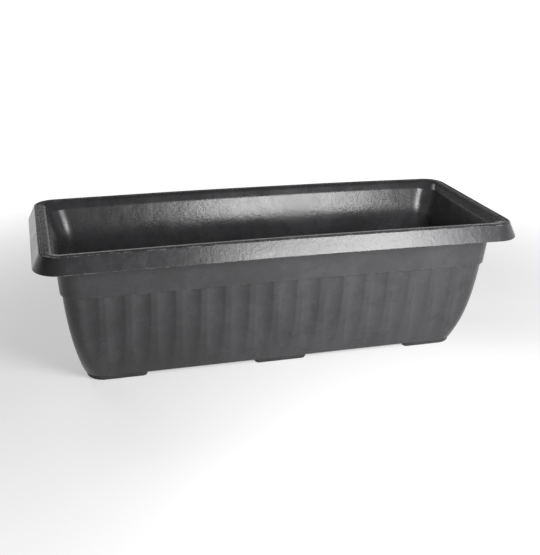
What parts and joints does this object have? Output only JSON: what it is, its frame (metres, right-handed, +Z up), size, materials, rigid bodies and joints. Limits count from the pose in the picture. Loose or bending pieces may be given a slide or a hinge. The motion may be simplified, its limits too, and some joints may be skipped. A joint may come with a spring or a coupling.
{
  "type": "window box planter",
  "caption": "Long plastic window box planter with a flared rim, plain band, fluted tapering sides, low pad feet and lift-out drain plugs.",
  "frame": {"origin": "on the ground under the middle of the trough", "axes": "+X along the trough, -Y towards the viewer's side, +Z up"},
  "size_m": [0.6, 0.246, 0.18],
  "materials": {
    "trough_plastic": "satin black polypropylene, lightly mottled",
    "foot_plastic": "black polypropylene, scuffed",
    "plug_rubber": "matt black soft plastic"
  },
  "bodies": {
    "planter": {"trough": "trough_plastic", "foot_front_left": "foot_plastic", "foot_front_middle": "foot_plastic", "foot_front_right": "foot_plastic", "foot_back_left": "foot_plastic", "foot_back_middle": "foot_plastic", "foot_back_right": "foot_plastic"},
    "drain_plug_front_left": {"drain_plug_front_left": "plug_rubber"},
    "drain_plug_front_right": {"drain_plug_front_right": "plug_rubber"},
    "drain_plug_back_left": {"drain_plug_back_left": "plug_rubber"},
    "drain_plug_back_right": {"drain_plug_back_right": "plug_rubber"}
  },
  "joints": [
    {"name": "drain_plug_front_left_lift", "type": "slide", "parent": "planter", "child": "drain_plug_front_left", "axis": [0, 0, 1], "range_m": [0, 0.03]},
    {"name": "drain_plug_front_right_lift", "type": "slide", "parent": "planter", "child": "drain_plug_front_right", "axis": [0, 0, 1], "range_m": [0, 0.03]},
    {"name": "drain_plug_back_left_lift", "type": "slide", "parent": "planter", "child": "drain_plug_back_left", "axis": [0, 0, 1], "range_m": [0, 0.03]},
    {"name": "drain_plug_back_right_lift", "type": "slide", "parent": "planter", "child": "drain_plug_back_right", "axis": [0, 0, 1], "range_m": [0, 0.03]}
  ]
}
